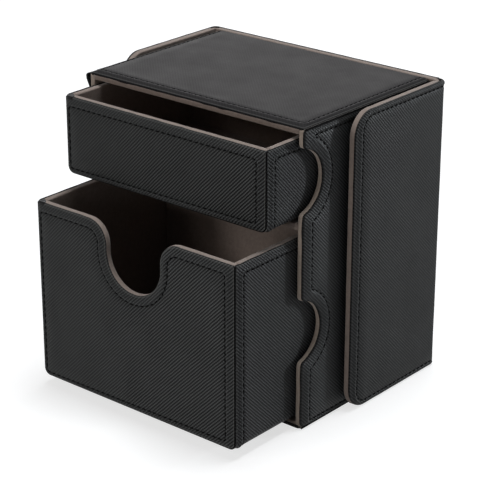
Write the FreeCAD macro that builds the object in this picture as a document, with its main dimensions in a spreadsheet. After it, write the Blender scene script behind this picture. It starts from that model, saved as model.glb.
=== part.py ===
# Card storage box: a case with two drawers, and a wrap cover kept on the back of the case.
# Every wall is a stitched panel: grey board, leather-look skin outside, soft lining inside.
# Frame: origin at the middle of the case's bottom face, X to the right, Y to the back, Z up.
# Both drawers stand part way open, as they do in use.
import FreeCAD, Part
import os

# Driving dimensions in millimetres: alias, value, meaning.
SIZES = [
    ("case_width", 107.0, "outside width of the case"),
    ("case_depth", 76.5, "outside depth of the case"),
    ("board_thick", 2.0, "grey board inside each panel"),
    ("skin_thick", 0.7, "leather-look skin on the outside of a panel"),
    ("lining_thick", 0.4, "soft lining on the inside of a panel and over its rim"),
    ("board_edge_radius", 1.5, "rounding of a drawer floor board's long lower edges"),
    ("lower_drawer_height", 73.6, "outside height of the card drawer"),
    ("upper_drawer_height", 31.4, "outside height of the dice drawer"),
    ("drawer_side_gap", 0.6, "clearance beside a drawer, each side"),
    ("drawer_back_gap", 0.5, "clearance behind a closed drawer"),
    ("drawer_lift", 0.3, "running clearance under a drawer"),
    ("lower_headroom", 3.4, "clearance above the card drawer"),
    ("upper_headroom", 1.9, "clearance above the dice drawer"),
    ("lower_open", 34.0, "how far the card drawer stands open"),
    ("upper_open", 17.0, "how far the dice drawer stands open"),
    ("grip_radius", 12.6, "round of the finger grips in the case sides"),
    ("grip_depth", 11.3, "depth of a finger grip from the front edge"),
    ("grip_lip_radius", 2.2, "rounding where a finger grip meets the front edge"),
    ("thumb_radius", 13.5, "round at the bottom of the card drawer's thumb cut-out"),
    ("thumb_straight", 2.5, "straight stretch of the thumb cut-out's sides"),
    ("thumb_lip_radius", 9.0, "rounding where the thumb cut-out meets the rim"),
    ("flap_length", 53.6, "length of a cover flap, from the fold to its free edge"),
    ("flap_gap", 1.8, "air between a cover flap and the case side"),
    ("cover_back_gap", 0.3, "clearance between the cover and the case back"),
    ("flap_corner_radius", 9.5, "rounding of a flap's free corners"),
    ("fold_radius", 2.0, "outside rounding of the cover's two folds"),
    ("fold_gap", 0.15, "clearance between a fold's bead and the flap that turns on it"),
    ("magnet_radius", 5.0, "radius of the disc magnets"),
    ("magnet_floor", 0.4, "board left under a magnet's pocket"),
    ("magnet_fit", 0.05, "clearance round a magnet in its pocket"),
    ("magnet_inset", 15.0, "magnet centre behind a flap's free edge"),
    ("magnet_pitch", 60.0, "height between the two magnets of a wall"),
    ("overrun", 1.0, "how far a cutting shape runs past the face that it opens"),
]

doc = FreeCAD.newDocument("CardStorageBox")
sheet = doc.addObject("Spreadsheet::Sheet", "Sizes")
for row, (alias, value, meaning) in enumerate(SIZES, start=1):
    sheet.set(f"A{row}", meaning)
    sheet.set(f"B{row}", str(value))
    sheet.setAlias(f"B{row}", alias)
doc.recompute()

# Layers of a panel, as expressions of the sheet.
SKIN = "Sizes.skin_thick"
BOARD = "Sizes.board_thick"
LINING = "Sizes.lining_thick"
CORE = f"({SKIN} + {BOARD})"
PANEL = f"({CORE} + {LINING})"
OVERRUN = "Sizes.overrun"

# Edges of the case and the heights stacked in it.
CASE_X = "(Sizes.case_width / 2)"
CASE_FRONT = "(0 - Sizes.case_depth / 2)"
CASE_BACK = "(Sizes.case_depth / 2)"
LOWER_Z = f"({PANEL} + Sizes.drawer_lift)"
LOWER_TOP = f"({LOWER_Z} + Sizes.lower_drawer_height)"
SHELF_Z = f"({LOWER_TOP} + Sizes.lower_headroom)"
SHELF_TOP = f"({SHELF_Z} + {BOARD} + 2 * {LINING})"
UPPER_Z = f"({SHELF_TOP} + Sizes.drawer_lift)"
UPPER_TOP = f"({UPPER_Z} + Sizes.upper_drawer_height)"
CASE_TOP = f"({UPPER_TOP} + Sizes.upper_headroom + {PANEL})"

# Edges of the drawers.
DRAWER_X = f"({CASE_X} - {PANEL} - Sizes.drawer_side_gap)"
DRAWER_LENGTH = f"(Sizes.case_depth - {PANEL} - Sizes.drawer_back_gap)"
LOWER_FRONT = f"({CASE_FRONT} - Sizes.lower_open)"
UPPER_FRONT = f"({CASE_FRONT} - Sizes.upper_open)"

# Edges of the cover, and the line of its magnets.
COVER_X = f"({CASE_X} + Sizes.flap_gap + {PANEL})"
COVER_BACK = f"({CASE_BACK} + Sizes.cover_back_gap + {PANEL})"
FOLD_Y = f"({COVER_BACK} - {PANEL})"
FLAP_END = f"({FOLD_Y} - {SKIN} / 2 - Sizes.fold_gap)"
FLAP_FRONT = f"({FOLD_Y} - Sizes.flap_length)"
MAGNET_Y = f"({FLAP_FRONT} + Sizes.magnet_inset)"
MAGNET_THICK = f"({BOARD} - Sizes.magnet_floor - Sizes.magnet_fit)"

# The most of a wall's thickness that a rounding of its edge may take.
ROUND_LIMIT_SHARE = 0.9

SIDES = ("left", "right")
TURNS = {
    "x": FreeCAD.Rotation(FreeCAD.Vector(0, 1, 0), 90),
    "y": FreeCAD.Rotation(FreeCAD.Vector(-1, 0, 0), 90),
    "z": FreeCAD.Rotation(),
}
pieces = []


def number(expression):
    """The value that an expression of the sheet has now."""
    return float(sheet.evalExpression(expression))


def both_sides(half_width):
    """A span that reaches as far to the left of the middle as to the right."""
    return (f"(0 - {half_width})", half_width)


def placed(side, place):
    """A place on the right-hand side, or its mirror image on the left-hand side."""
    return place if side == "right" else f"(0 - {place})"


def on_side(side, span):
    """A span on the right-hand side, or its mirror image on the left-hand side."""
    low, high = (placed(side, place) for place in span)
    return (low, high) if side == "right" else (high, low)


def box(name, x_span, y_span, z_span):
    """A box between bound low and high edges on each axis."""
    made = doc.addObject("Part::Box", name)
    for axis, side_length, (low, high) in (
        ("x", "Length", x_span),
        ("y", "Width", y_span),
        ("z", "Height", z_span),
    ):
        made.setExpression(side_length, f"({high}) - ({low})")
        made.setExpression(f"Placement.Base.{axis}", low)
    return made


def rod(name, along, radius, span, **centre):
    """A cylinder along one axis between bound ends, round a bound centre line."""
    low, high = span
    made = doc.addObject("Part::Cylinder", name)
    made.Placement = FreeCAD.Placement(FreeCAD.Vector(), TURNS[along])
    made.setExpression("Radius", radius)
    made.setExpression("Height", f"({high}) - ({low})")
    made.setExpression(f"Placement.Base.{along}", low)
    for axis, place in centre.items():
        made.setExpression(f"Placement.Base.{axis}", place)
    return made


def fuse(name, shapes):
    made = doc.addObject("Part::MultiFuse", name)
    made.Shapes = shapes
    made.Refine = True
    return made


def cut(name, base, tool):
    made = doc.addObject("Part::Cut", name)
    made.Base = base
    made.Tool = tool
    made.Refine = True
    return made


def limited(radius, wall):
    """A rounding's radius, no larger than its wall allows."""
    return min(number(radius), ROUND_LIMIT_SHARE * number(wall))


def rounded(name, base, radius, lines):
    """The base with the straight edges on the given lines rounded off."""
    doc.recompute()
    places = [{axis: number(place) for axis, place in line.items()} for line in lines]
    reach = Part.Precision.confusion()
    edges = []
    for index, edge in enumerate(base.Shape.Edges, start=1):
        middle = edge.CenterOfMass
        for line in places:
            if all(abs(getattr(middle, axis) - place) < reach for axis, place in line.items()):
                edges.append((index, radius, radius))
    made = doc.addObject("Part::Fillet", name)
    made.Base = base
    made.Edges = edges
    return made


def piece(made, name):
    """Keeps an object as a finished piece, under the name of its file."""
    made.Label = name
    pieces.append(made)
    return made


def grip_tool(name, inset):
    """Cutting shape of the finger grips: one per drawer, through both case sides."""
    through = both_sides(f"({CASE_X} + {OVERRUN})")
    centre_y = f"({CASE_FRONT} + Sizes.grip_depth - Sizes.grip_radius)"
    lip_y = f"({CASE_FRONT} + Sizes.grip_lip_radius)"

    # The bowl and a lip touch on the line between their centres, which leans off the vertical.
    apart = "(Sizes.grip_radius + Sizes.grip_lip_radius)"
    lean = f"(({lip_y} - {centre_y}) / {apart})"
    reach = f"({apart} * sqrt(1 - {lean} ^ 2))"
    touch_y = f"({centre_y} + (Sizes.grip_radius + {inset}) * {lean})"

    shapes = []
    for level, low, high in (("lower", LOWER_Z, LOWER_TOP), ("upper", UPPER_Z, UPPER_TOP)):
        middle = f"(({low} + {high}) / 2)"
        ends = (f"({middle} - {reach})", f"({middle} + {reach})")
        bowl = rod(f"{name}_{level}_bowl", "x", f"(Sizes.grip_radius + {inset})", through,
                   y=centre_y, z=middle)
        mouth = box(f"{name}_{level}_mouth", through,
                    (f"({CASE_FRONT} - {OVERRUN})", touch_y), ends)
        lips = [rod(f"{name}_{level}_lip", "x", f"(Sizes.grip_lip_radius - {inset})", through,
                    y=lip_y, z=end) for end in ends]
        shapes += [bowl, cut(f"{name}_{level}_flare", mouth, fuse(f"{name}_{level}_lips", lips))]
    return fuse(name, shapes)


def thumb_tool(name, inset):
    """Cutting shape of the thumb cut-out in the card drawer's front."""
    through = (f"({LOWER_FRONT} - {OVERRUN})", f"({LOWER_FRONT} + {PANEL} + {OVERRUN})")
    reach = "(Sizes.thumb_radius + Sizes.thumb_lip_radius)"
    radius = f"(Sizes.thumb_radius + {inset})"
    lip_z = f"({LOWER_TOP} - Sizes.thumb_lip_radius)"
    centre_z = f"({lip_z} - Sizes.thumb_straight)"
    bowl = rod(f"{name}_bowl", "y", radius, through, x="0", z=centre_z)
    throat = box(f"{name}_throat", both_sides(radius), through, (centre_z, lip_z))
    mouth = box(f"{name}_mouth", both_sides(reach), through, (lip_z, f"({LOWER_TOP} + {OVERRUN})"))
    lips = [rod(f"{name}_lip", "y", f"(Sizes.thumb_lip_radius - {inset})", through,
                x=end, z=lip_z) for end in both_sides(reach)]
    flare = cut(f"{name}_flare", mouth, fuse(f"{name}_lips", lips))
    return fuse(name, [bowl, throat, flare])


def magnet_pair(name, radius, x_span):
    """Two discs, one above the other, at the magnets' place in a side wall."""
    middle = f"({CASE_TOP} / 2)"
    pair = doc.addObject("Part::Compound", name)
    pair.Links = [
        rod(f"{name}_disc", "x", radius, x_span, y=MAGNET_Y, z=place)
        for place in (f"({middle} - Sizes.magnet_pitch / 2)", f"({middle} + Sizes.magnet_pitch / 2)")
    ]
    return pair


def make_case_top_and_bottom():
    wide = both_sides(CASE_X)
    inner_wide = both_sides(f"({CASE_X} - {SKIN})")
    lining_wide = both_sides(f"({CASE_X} - {PANEL})")
    deep = (CASE_FRONT, CASE_BACK)
    board_deep = (f"({CASE_FRONT} + {LINING})", f"({CASE_BACK} - {SKIN})")
    lining_deep = (CASE_FRONT, f"({CASE_BACK} - {CORE})")
    levels = {
        "bottom": (("0", SKIN), (SKIN, CORE), (CORE, PANEL)),
        "top": (
            (f"({CASE_TOP} - {SKIN})", CASE_TOP),
            (f"({CASE_TOP} - {CORE})", f"({CASE_TOP} - {SKIN})"),
            (f"({CASE_TOP} - {PANEL})", f"({CASE_TOP} - {CORE})"),
        ),
    }
    rim = (CASE_FRONT, f"({CASE_FRONT} + {LINING})")
    for place, (skin_z, board_z, lining_z) in levels.items():
        piece(box(f"case_{place}_skin", wide, deep, skin_z), f"case_{place}_skin")
        piece(box(f"case_{place}_board", inner_wide, board_deep, board_z), f"case_{place}_board")
        sheet_part = box(f"case_{place}_sheet", lining_wide, lining_deep, lining_z)
        rim_part = box(f"case_{place}_rim", inner_wide, rim, board_z)
        piece(fuse(f"case_{place}_lining", [sheet_part, rim_part]), f"case_{place}_lining")


def make_case_sides(finished_grips, board_grips):
    skin_x = (f"({CASE_X} - {SKIN})", CASE_X)
    board_x = (f"({CASE_X} - {CORE})", f"({CASE_X} - {SKIN})")
    block_x = (f"({CASE_X} - {PANEL})", f"({CASE_X} - {SKIN})")
    magnet_x = (f"({CASE_X} - {SKIN} - {MAGNET_THICK})", f"({CASE_X} - {SKIN})")
    pocket_x = (f"({CASE_X} - {CORE} + Sizes.magnet_floor)", f"({CASE_X} - {SKIN} + {OVERRUN})")
    skin_z = (SKIN, f"({CASE_TOP} - {SKIN})")
    board_z = (CORE, f"({CASE_TOP} - {CORE})")
    for side in SIDES:
        name = f"case_{side}"
        plate = box(f"{name}_skin_plate", on_side(side, skin_x), (CASE_FRONT, CASE_BACK), skin_z)
        piece(cut(f"{name}_skin", plate, finished_grips), f"{name}_skin")

        board_plate = box(f"{name}_board_plate", on_side(side, board_x),
                          (f"({CASE_FRONT} + {LINING})", f"({CASE_BACK} - {SKIN})"), board_z)
        board = cut(f"{name}_board_gripped", board_plate, board_grips)
        block = box(f"{name}_lining_block", on_side(side, block_x),
                    (CASE_FRONT, f"({CASE_BACK} - {CORE})"), board_z)
        gripped = cut(f"{name}_lining_gripped", block, finished_grips)
        piece(cut(f"{name}_lining", gripped, board), f"{name}_lining")

        pockets = magnet_pair(f"{name}_pockets", "(Sizes.magnet_radius + Sizes.magnet_fit)",
                              on_side(side, pocket_x))
        piece(cut(f"{name}_board", board, pockets), f"{name}_board")
        piece(magnet_pair(f"{name}_magnets", "Sizes.magnet_radius", on_side(side, magnet_x)),
              f"{name}_magnets")


def make_case_back():
    piece(box("case_back_skin", both_sides(f"({CASE_X} - {SKIN})"),
              (f"({CASE_BACK} - {SKIN})", CASE_BACK),
              (SKIN, f"({CASE_TOP} - {SKIN})")), "case_back_skin")
    piece(box("case_back_board", both_sides(f"({CASE_X} - {CORE})"),
              (f"({CASE_BACK} - {CORE})", f"({CASE_BACK} - {SKIN})"),
              (CORE, f"({CASE_TOP} - {CORE})")), "case_back_board")
    piece(box("case_back_lining", both_sides(f"({CASE_X} - {PANEL})"),
              (f"({CASE_BACK} - {PANEL})", f"({CASE_BACK} - {CORE})"),
              (PANEL, f"({CASE_TOP} - {PANEL})")), "case_back_lining")


def make_shelf():
    """The board between the drawers, with lining over both faces and its front edge."""
    wide = both_sides(f"({CASE_X} - {PANEL})")
    deep = (f"({CASE_FRONT} + {LINING})", f"({CASE_BACK} - {PANEL})")
    high = (f"({SHELF_Z} + {LINING})", f"({SHELF_TOP} - {LINING})")
    board = piece(box("shelf_board", wide, deep, high), "shelf_board")
    block = box("shelf_block", wide, (CASE_FRONT, f"({CASE_BACK} - {PANEL})"), (SHELF_Z, SHELF_TOP))
    piece(cut("shelf_lining", block, board), "shelf_lining")


def make_drawer(name, front, low, top, finished_thumb=None, board_thumb=None):
    """A tray: skins outside, five boards, one lining inside and over the rim."""
    back = f"({front} + {DRAWER_LENGTH})"
    skin_in = f"({DRAWER_X} - {SKIN})"
    core_in = f"({DRAWER_X} - {CORE})"
    between_skins = (f"({front} + {SKIN})", f"({back} - {SKIN})")
    board_z = (f"({low} + {CORE})", f"({top} - {LINING})")
    board_round = limited("Sizes.board_edge_radius", BOARD)
    skin_round = board_round + number(SKIN)
    skin_lines = [{"x": end, "z": low} for end in both_sides(DRAWER_X)]
    board_lines = [{"x": end, "z": f"({low} + {SKIN})"} for end in both_sides(skin_in)]

    # Front and back skins, with their lower corners rounded like the wrap between them.
    for place, deep in (
        ("front", (front, f"({front} + {SKIN})")),
        ("back", (f"({back} - {SKIN})", back)),
    ):
        plate = box(f"{name}_{place}_plate", both_sides(DRAWER_X), deep, (low, top))
        made = rounded(f"{name}_{place}_rounded", plate, skin_round, skin_lines)
        if place == "front" and finished_thumb:
            made = cut(f"{name}_front_thumbed", made, finished_thumb)
        piece(made, f"{name}_{place}_skin")

    # One skin runs down the left side, under the floor and up the right side.
    outer = box(f"{name}_wrap_outer", both_sides(DRAWER_X), between_skins, (low, top))
    inner = box(f"{name}_wrap_inner", both_sides(skin_in), between_skins,
                (f"({low} + {SKIN})", f"({top} + {OVERRUN})"))
    wrap = cut(f"{name}_wrap",
               rounded(f"{name}_wrap_outer_rounded", outer, skin_round, skin_lines),
               rounded(f"{name}_wrap_inner_rounded", inner, board_round, board_lines))
    piece(wrap, f"{name}_wrap_skin")

    # Boards: the floor carries the four walls.
    floor = box(f"{name}_floor_plate", both_sides(skin_in), between_skins,
                (f"({low} + {SKIN})", f"({low} + {CORE})"))
    piece(rounded(f"{name}_floor_rounded", floor, board_round, board_lines), f"{name}_floor_board")
    boards = []
    for place, deep in (
        ("front", (f"({front} + {SKIN})", f"({front} + {CORE})")),
        ("back", (f"({back} - {CORE})", f"({back} - {SKIN})")),
    ):
        made = box(f"{name}_{place}_board_plate", both_sides(skin_in), deep, board_z)
        if place == "front" and board_thumb:
            made = cut(f"{name}_front_board_thumbed", made, board_thumb)
        boards.append(piece(made, f"{name}_{place}_board"))
    for side in SIDES:
        made = box(f"{name}_{side}_board_plate", on_side(side, (core_in, skin_in)),
                   (f"({front} + {CORE})", f"({back} - {CORE})"), board_z)
        boards.append(piece(made, f"{name}_{side}_board"))

    # The lining is what is left of the tray's block round the boards and the cavity.
    block = box(f"{name}_lining_block", both_sides(skin_in), between_skins, (f"({low} + {CORE})", top))
    cavity = box(f"{name}_cavity", both_sides(f"({DRAWER_X} - {PANEL})"),
                 (f"({front} + {PANEL})", f"({back} - {PANEL})"),
                 (f"({low} + {PANEL})", f"({top} + {OVERRUN})"))
    taken = boards + [cavity] + ([finished_thumb] if finished_thumb else [])
    piece(cut(f"{name}_lining_left", block, fuse(f"{name}_taken", taken)), f"{name}_lining")


def make_cover_back():
    wide = both_sides(f"({COVER_X} - {PANEL})")
    high = ("0", CASE_TOP)
    skin_face = f"({COVER_BACK} - {SKIN})"
    piece(box("cover_back_skin", wide, (skin_face, COVER_BACK), high), "cover_back_skin")
    board = piece(box("cover_back_board", wide, (f"({COVER_BACK} - {CORE})", skin_face),
                      (LINING, f"({CASE_TOP} - {LINING})")), "cover_back_board")
    block = box("cover_back_block", wide, (FOLD_Y, skin_face), high)
    piece(cut("cover_back_lining", block, board), "cover_back_lining")


def make_cover_fold(side):
    """The skin bent round a back corner of the cover, with the bead that the flap turns on."""
    name = f"cover_{side}_fold"
    high = ("0", CASE_TOP)
    inner_x = f"({COVER_X} - {SKIN})"
    inner_back = f"({COVER_BACK} - {SKIN})"
    outer = box(f"{name}_outer", on_side(side, (f"({COVER_X} - {PANEL})", COVER_X)),
                (FOLD_Y, COVER_BACK), high)
    inner = box(f"{name}_inner", on_side(side, (f"({COVER_X} - {PANEL} - {OVERRUN})", inner_x)),
                (f"({FOLD_Y} - {OVERRUN})", inner_back), high)
    outer_round = limited("Sizes.fold_radius", PANEL)
    inner_round = outer_round - number(SKIN)
    outer_line = {"x": placed(side, COVER_X), "y": COVER_BACK}
    inner_line = {"x": placed(side, inner_x), "y": inner_back}
    shell = cut(
        f"{name}_shell",
        rounded(f"{name}_outer_rounded", outer, outer_round, [outer_line]),
        rounded(f"{name}_inner_rounded", inner, inner_round, [inner_line]),
    )
    bead = rod(f"{name}_bead", "z", f"({SKIN} / 2)", high,
               x=placed(side, f"({COVER_X} - {SKIN} / 2)"), y=FOLD_Y)
    piece(fuse(f"{name}_whole", [shell, bead]), name)


def make_flap(side):
    name = f"{side}_flap"
    high = ("0", CASE_TOP)
    deep = (FLAP_FRONT, FLAP_END)
    board_high = (LINING, f"({CASE_TOP} - {LINING})")
    board_front = f"({FLAP_FRONT} + {LINING})"
    skin_x = on_side(side, (f"({COVER_X} - {SKIN})", COVER_X))
    board_x = on_side(side, (f"({COVER_X} - {CORE})", f"({COVER_X} - {SKIN})"))
    block_x = on_side(side, (f"({COVER_X} - {PANEL})", f"({COVER_X} - {SKIN})"))
    magnet_x = on_side(side, (f"({COVER_X} - {CORE})", f"({COVER_X} - {CORE} + {MAGNET_THICK})"))
    pocket_x = on_side(side, (f"({COVER_X} - {CORE} - {OVERRUN})",
                              f"({COVER_X} - {SKIN} - Sizes.magnet_floor)"))
    corner = number("Sizes.flap_corner_radius")
    corner_lines = [{"y": FLAP_FRONT, "z": end} for end in high]
    board_lines = [{"y": board_front, "z": end} for end in board_high]

    plate = box(f"{name}_skin_plate", skin_x, deep, high)
    piece(rounded(f"{name}_skin_rounded", plate, corner, corner_lines), f"{name}_skin")

    board_plate = box(f"{name}_board_plate", board_x, (board_front, FLAP_END), board_high)
    board = rounded(f"{name}_board_rounded", board_plate, corner - number(LINING), board_lines)
    block_plate = box(f"{name}_block_plate", block_x, deep, high)
    block = rounded(f"{name}_block", block_plate, corner, corner_lines)
    piece(cut(f"{name}_lining_left", block, board), f"{name}_lining")

    pockets = magnet_pair(f"{name}_pockets", "(Sizes.magnet_radius + Sizes.magnet_fit)", pocket_x)
    piece(cut(f"{name}_board_pocketed", board, pockets), f"{name}_board")
    piece(magnet_pair(f"{name}_discs", "Sizes.magnet_radius", magnet_x), f"{name}_magnets")


def write_pieces():
    """Stops on any failed object, then writes each piece to a file of its own."""
    doc.recompute()
    for made in doc.Objects:
        if "Invalid" in made.State or "Error" in made.State:
            raise RuntimeError(f"{made.Name} failed: {made.State}")
    for made in pieces:
        if made.Shape.isNull() or not made.Shape.isValid() or not made.Shape.Solids:
            raise RuntimeError(f"{made.Label} has no valid solid")
    os.makedirs("parts", exist_ok=True)
    for made in pieces:
        made.Shape.exportStep(f"parts/{made.Label}.step")


make_case_top_and_bottom()
make_case_sides(grip_tool("grips", "0"), grip_tool("board_grips", LINING))
make_case_back()
make_shelf()
make_drawer("lower_drawer", LOWER_FRONT, LOWER_Z, LOWER_TOP,
            thumb_tool("thumb", "0"), thumb_tool("board_thumb", LINING))
make_drawer("upper_drawer", UPPER_FRONT, UPPER_Z, UPPER_TOP)
make_cover_back()
for flap_side in SIDES:
    make_cover_fold(flap_side)
    make_flap(flap_side)
write_pieces()
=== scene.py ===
"""Looks of the card storage box: leather skins, suede linings, stitching, boards and magnets."""

import math

import bpy
import numpy as np
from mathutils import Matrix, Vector, geometry, noise


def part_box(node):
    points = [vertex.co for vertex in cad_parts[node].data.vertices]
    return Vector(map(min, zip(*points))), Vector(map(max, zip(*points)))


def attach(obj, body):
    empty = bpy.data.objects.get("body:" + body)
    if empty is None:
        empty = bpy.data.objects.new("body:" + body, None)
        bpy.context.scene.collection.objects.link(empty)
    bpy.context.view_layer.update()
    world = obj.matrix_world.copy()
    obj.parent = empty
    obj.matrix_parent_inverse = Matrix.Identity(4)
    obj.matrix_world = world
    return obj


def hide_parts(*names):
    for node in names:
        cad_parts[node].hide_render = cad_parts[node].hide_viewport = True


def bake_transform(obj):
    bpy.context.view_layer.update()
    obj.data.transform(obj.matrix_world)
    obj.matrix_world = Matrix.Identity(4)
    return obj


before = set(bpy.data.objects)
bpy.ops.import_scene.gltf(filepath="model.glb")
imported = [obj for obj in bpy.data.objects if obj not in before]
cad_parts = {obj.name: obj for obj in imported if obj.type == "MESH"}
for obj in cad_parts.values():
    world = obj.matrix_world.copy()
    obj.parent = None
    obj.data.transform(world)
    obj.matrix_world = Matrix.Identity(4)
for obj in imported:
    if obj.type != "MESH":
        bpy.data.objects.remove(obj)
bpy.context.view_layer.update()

# Lengths in the script are millimetres, and meshes are written in metres
MM = 0.001

# Leather: thickness at the drawers and at the case, and how its edges are rolled
DRAWER_SKIN = 0.7
CASE_SKIN = 1.05
FOOT_SKIN = 1.6
FLAP_SKIN = 0.8
RIM_ROLL = 0.35
SEAM_ROLL = 0.5
UNDER_ROLL = 0.2
FACE_LIP = 0.25
BACK_LIP = 0.3
UNDER_TURN = (0, 30, 60, 90)
FACE_TURN = (0, 22, 45, 68, 90)

# Corners of the leather panels
PANEL_CORNER = 1.0
FRONT_LEFT_CORNER = 1.2
FRONT_RIGHT_CORNER = 0.9
WRAP_CORNER = 0.9
WRAP_LEFT_CORNER = 1.6

# Unevenness of a sheet: how much and how slowly its edge and its face waver
EDGE_WAVER, EDGE_WAVER_SIZE = 0.08, 6.0
FACE_WAVER, FACE_WAVER_SIZE = 0.06, 16.0
CALM_EDGE = 3.0
EDGE_SEED = 7.0

# How far leather edges stay back from rims, from the corners of the box and from the top's edges
RIM = 0.05
SEAM = 0.75
FRONT_SEAM = 0.4
TOP_SEAM = 1.2

# How far the leather stands above the suede at the left and back rims
DRAWER_RISE = 0.3
COVER_RISE = 0.12

# The black cord put in the seam gaps as painted shade, and how far it lies from seams and rims
SEAM_SHADE_TUBE = 0.35
SHADE_TUBE_SIDES = 8
SHADE_TUBE_OUT, SHADE_TUBE_END = 0.1, 0.4
CASE_SHADE_TUBE_OUT, CASE_SHADE_TUBE_START = 0.2, 0.5
SHADE_TUBE_POINTS = 30

# Suede-wrapped walls: thickness at the drawers and at the case, roundness of the rims
DRAWER_WALL = 2.4
CASE_WALL = 2.05
FLAP_WALL = 2.35
SUEDE_ROLL = 0.5
SUEDE_UNDER = 0.25
SUEDE_CORNER = 0.9
SUEDE_SHEET = 0.4
SHEET_ROLL = 0.2
WALL_TUCK = 0.3

# How much lower the suede lies where a drawer slides on it
SLIDE_ROOM = 0.25

# Stitch rows: how far they stay from seams, rims and lower edges, and how they turn
ROW_SEAM = 4.8
ROW_RIM = 4.0
ROW_LOW = 2.4
ROW_FLAP = 4.5
ROW_FOOT = 1.8
ROW_LEFT = 2.1
ROW_TURN = 1.2
SHARP_TURN = 0.4
GRIP_ROW_TURN = 0.8
FLAP_ROW_TURN = 5.5
GRIP_ROW_STARTS = (60, 69)
GRIP_ROW_POINTS = 18
BEYOND = 20.0

# Stitches: pitch, length, thread, how deep it lies, how far it stays from edges and how much it leans
PITCH = 2.7
STITCH = 1.6
THREAD = 0.24
THREAD_SIDES = 6
THREAD_SINK = 0.06
STITCH_CLEAR = 0.9
LEAN, LEAN_VARY = 0.1, 0.05
STATIONS = (-1.0, -0.86, -0.5, 0.0, 0.5, 0.86, 1.0)
LIFTS = (-0.42, -0.16, 0.0, 0.03, 0.0, -0.16, -0.42)

# Hem between a stitch row and the edge: its swelling, and how far its edge is drawn down
HEM = 3.4
SWELL = 0.42
DROOP = 0.42
TOP_DROOP = 0.5
FLAP_DROOP = 0.15
PLAIN_EDGE = 1.0

# Swelling beside a stitch row, the row's groove and the holes in it
CREST, CREST_WIDTH = 1.3, 0.7
INNER_SWELL = 0.25 * SWELL
GROOVE, GROOVE_WIDTH = 0.16, 0.45
HOLE = 0.14

# Drawer floor edge, thumb cut-out, finger grips, flap corners and folds
EDGE_RADIUS = 3.2
FOOT_RADIUS = 2.2
THUMB_HALF, THUMB_LOW, THUMB_LIP = 13.5, 25.0, 9.0
GRIP_RADIUS, GRIP_DEPTH, GRIP_LIP = 12.6, 11.3, 2.2
GRIP_HEIGHTS = (99.2, 40.2)
FLAP_CORNER = 9.5
FOLD_RADIUS = 2.0

# Leather turned over the rim at a drawer's left front corner: place, reach, corners and thickness
CAP_LEFT, CAP_FRONT, CAP_RISE = 0.1, 0.15, 0.08
CAP_WIDTH, CAP_DEPTH = 5.2, 4.2
CAP_NOTCH = (3.2, 2.2)
CAP_CORNER, CAP_TIP, CAP_NOTCH_TURN = 1.8, 0.7, 0.8
CAP_SKIN, CAP_ROLL = 1.6, 0.3

# The ear at the case's left front upper corner: how far it stands out, its reach and its place
EAR_OUT, EAR_DEPTH, EAR_HEIGHT, EAR_DROP = 2.2, 4.5, 3.5, 2.5

# Strip of suede inside a fold: its two ends, its corner and its thickness
FOLD_START, FOLD_BACK, FOLD_OUT, FOLD_END = 1.0, 1.5, 1.7, 1.0
FOLD_TURN, FOLD_STEP, FOLD_INSET = 1.6, 0.4, 0.1
FOLD_STRIP, FOLD_ROLL = 1.4, 0.3

# Mesh fineness
STEP = 1.5
ARC_STEP = 0.5
ROW_STEP = PITCH / 4
GRID = 4.0
COARSE_GRID = 12.0
CAP_GRID = 1.0
ROW_LINES = (-2.2, -1.5, -0.9, -0.4, 0.0, 0.4, 0.9)
ROW_CLEAR = 2.6
EDGE_CLEAR = 0.4
FAR = 9.0

# Faces of the box: the directions that run across and up, as seen from outside
FACINGS = {
    "front": ((1, 0, 0), (0, 0, 1)),
    "back": ((-1, 0, 0), (0, 0, 1)),
    "right": ((0, 1, 0), (0, 0, 1)),
    "left": ((0, -1, 0), (0, 0, 1)),
    "top": ((1, 0, 0), (0, 1, 0)),
    "bottom": ((1, 0, 0), (0, -1, 0)),
}


# Flat outlines

def rounded(corners, closed=True, step=STEP):
    """A line through the corners, each turned with its own radius, cut into short steps."""
    keys = []
    count = len(corners)
    for i, (x, y, radius) in enumerate(corners):
        here = np.array((x, y), float)
        if radius <= 0 or (not closed and i in (0, count - 1)):
            keys.append(here)
            continue
        back = np.array(corners[i - 1][:2]) - here
        ahead = np.array(corners[(i + 1) % count][:2]) - here
        keys += arc(here, back / np.linalg.norm(back), ahead / np.linalg.norm(ahead), radius)
    line = []
    pairs = zip(keys, keys[1:] + keys[:1]) if closed else zip(keys, keys[1:])
    for start, end in pairs:
        length = np.linalg.norm(end - start)
        cuts = max(1, math.ceil(length / step))
        if length > 1e-6:
            line.extend(start + (end - start) * k / cuts for k in range(cuts))
    if not closed:
        line.append(keys[-1])
    return np.array(line)


def arc(corner, back, ahead, radius):
    """Points of the arc that rounds a corner between two directions."""
    opening = math.acos(max(-1.0, min(1.0, float(back @ ahead))))
    reach = radius / math.tan(opening / 2)
    bisector = (back + ahead) / np.linalg.norm(back + ahead)
    middle = corner + bisector * radius / math.sin(opening / 2)
    first = corner + back * reach - middle
    last = corner + ahead * reach - middle
    turn = math.pi - opening
    cuts = max(3, math.ceil(turn * radius / ARC_STEP))
    points = []
    for k in range(cuts + 1):
        share = k / cuts
        mixed = math.sin((1 - share) * turn) * first + math.sin(share * turn) * last
        points.append(middle + mixed / math.sin(turn))
    return points


def rectangle(spans, radius, left=0.0, right=0.0, low=0.0, high=0.0):
    """Corners of a box on a face, drawn in from its four sides."""
    u0, u1, v0, v1 = spans
    return [(u0 + left, v0 + low, radius), (u1 - right, v0 + low, radius),
            (u1 - right, v1 - high, radius), (u0 + left, v1 - high, radius)]


def mirrored(corners):
    """The same corners seen from the other side."""
    return [(-x, y, radius) for x, y, radius in reversed(corners)]


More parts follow.
